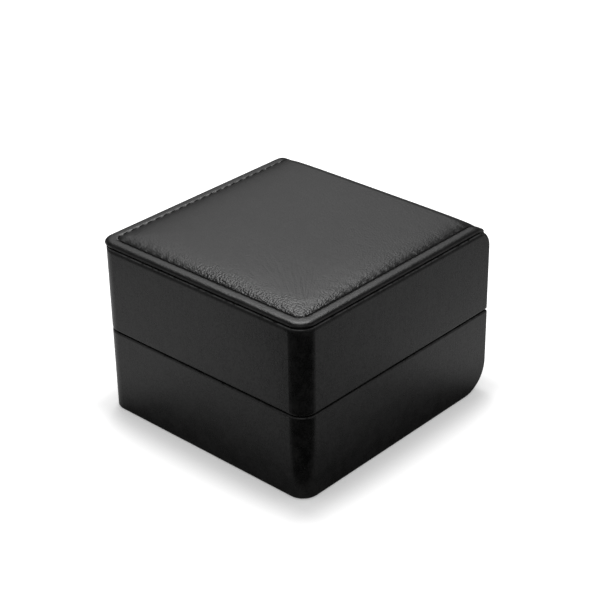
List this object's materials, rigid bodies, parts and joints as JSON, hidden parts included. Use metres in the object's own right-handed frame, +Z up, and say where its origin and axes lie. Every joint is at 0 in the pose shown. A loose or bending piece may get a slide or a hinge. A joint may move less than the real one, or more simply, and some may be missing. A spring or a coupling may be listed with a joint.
{
  "type": "watch gift box",
  "caption": "Hinged leatherette gift box for one wristwatch, with a padded stitched lid panel, lined inside, a snap hinge and a lift-out pillow.",
  "frame": {"origin": "middle of the underside of the closed box", "axes": "+Z up, the front of the box (the side that opens) faces -Y and the hinge is at +Y, +X is to the right seen from the front"},
  "size_m": [0.1006, 0.1052, 0.0725],
  "materials": {
    "leatherette": "black leatherette with a fine grain, satin, wrapped round rigid walls",
    "leatherette_panel": "black pebble-grained leatherette over thin padding, stitched round the border with black thread",
    "core": "moulded black plastic, unpolished",
    "card": "grey pressed card",
    "foam": "soft open-cell foam, hidden",
    "velvet": "black velvet on card",
    "flock": "black flock with a short even nap",
    "satin": "black satin over a soft pad",
    "pillow_velvet": "black velvet over foam",
    "hinge_steel": "nickel-plated stamped steel",
    "spring_steel": "blued spring steel strip"
  },
  "bodies": {
    "base": {"base_frame": "core", "base_side_wrap": "leatherette", "base_bottom_sheet": "flock", "base_lining_walls": "velvet", "base_lining_floor": "velvet", "pillow_tray": "flock", "hinge_leaf_base": "hinge_steel", "hinge_pivots": "hinge_steel", "hinge_spring": "spring_steel", "hinge_rivets_base": "hinge_steel"},
    "lid": {"lid_frame": "core", "lid_side_wrap": "leatherette", "lid_panel_board": "card", "lid_panel_foam": "foam", "lid_panel_cover": "leatherette_panel", "lid_lining_walls": "velvet", "lid_lining_board": "card", "lid_lining_pad": "satin", "hinge_leaf_lid": "hinge_steel", "hinge_rivets_lid": "hinge_steel"},
    "pillow": {"pillow_core": "foam", "pillow_sleeve": "pillow_velvet", "pillow_ends": "pillow_velvet"}
  },
  "joints": [
    {"name": "lid_hinge", "type": "hinge", "parent": "base", "child": "lid", "pos_m": [0, 0.0516, 0.0342], "axis": [-1, 0, 0], "range_deg": [0, 95], "deforming": ["hinge_spring"]},
    {"name": "pillow_lift", "type": "slide", "parent": "base", "child": "pillow", "axis": [0, 0, 1], "range_m": [0, 0.012]}
  ]
}
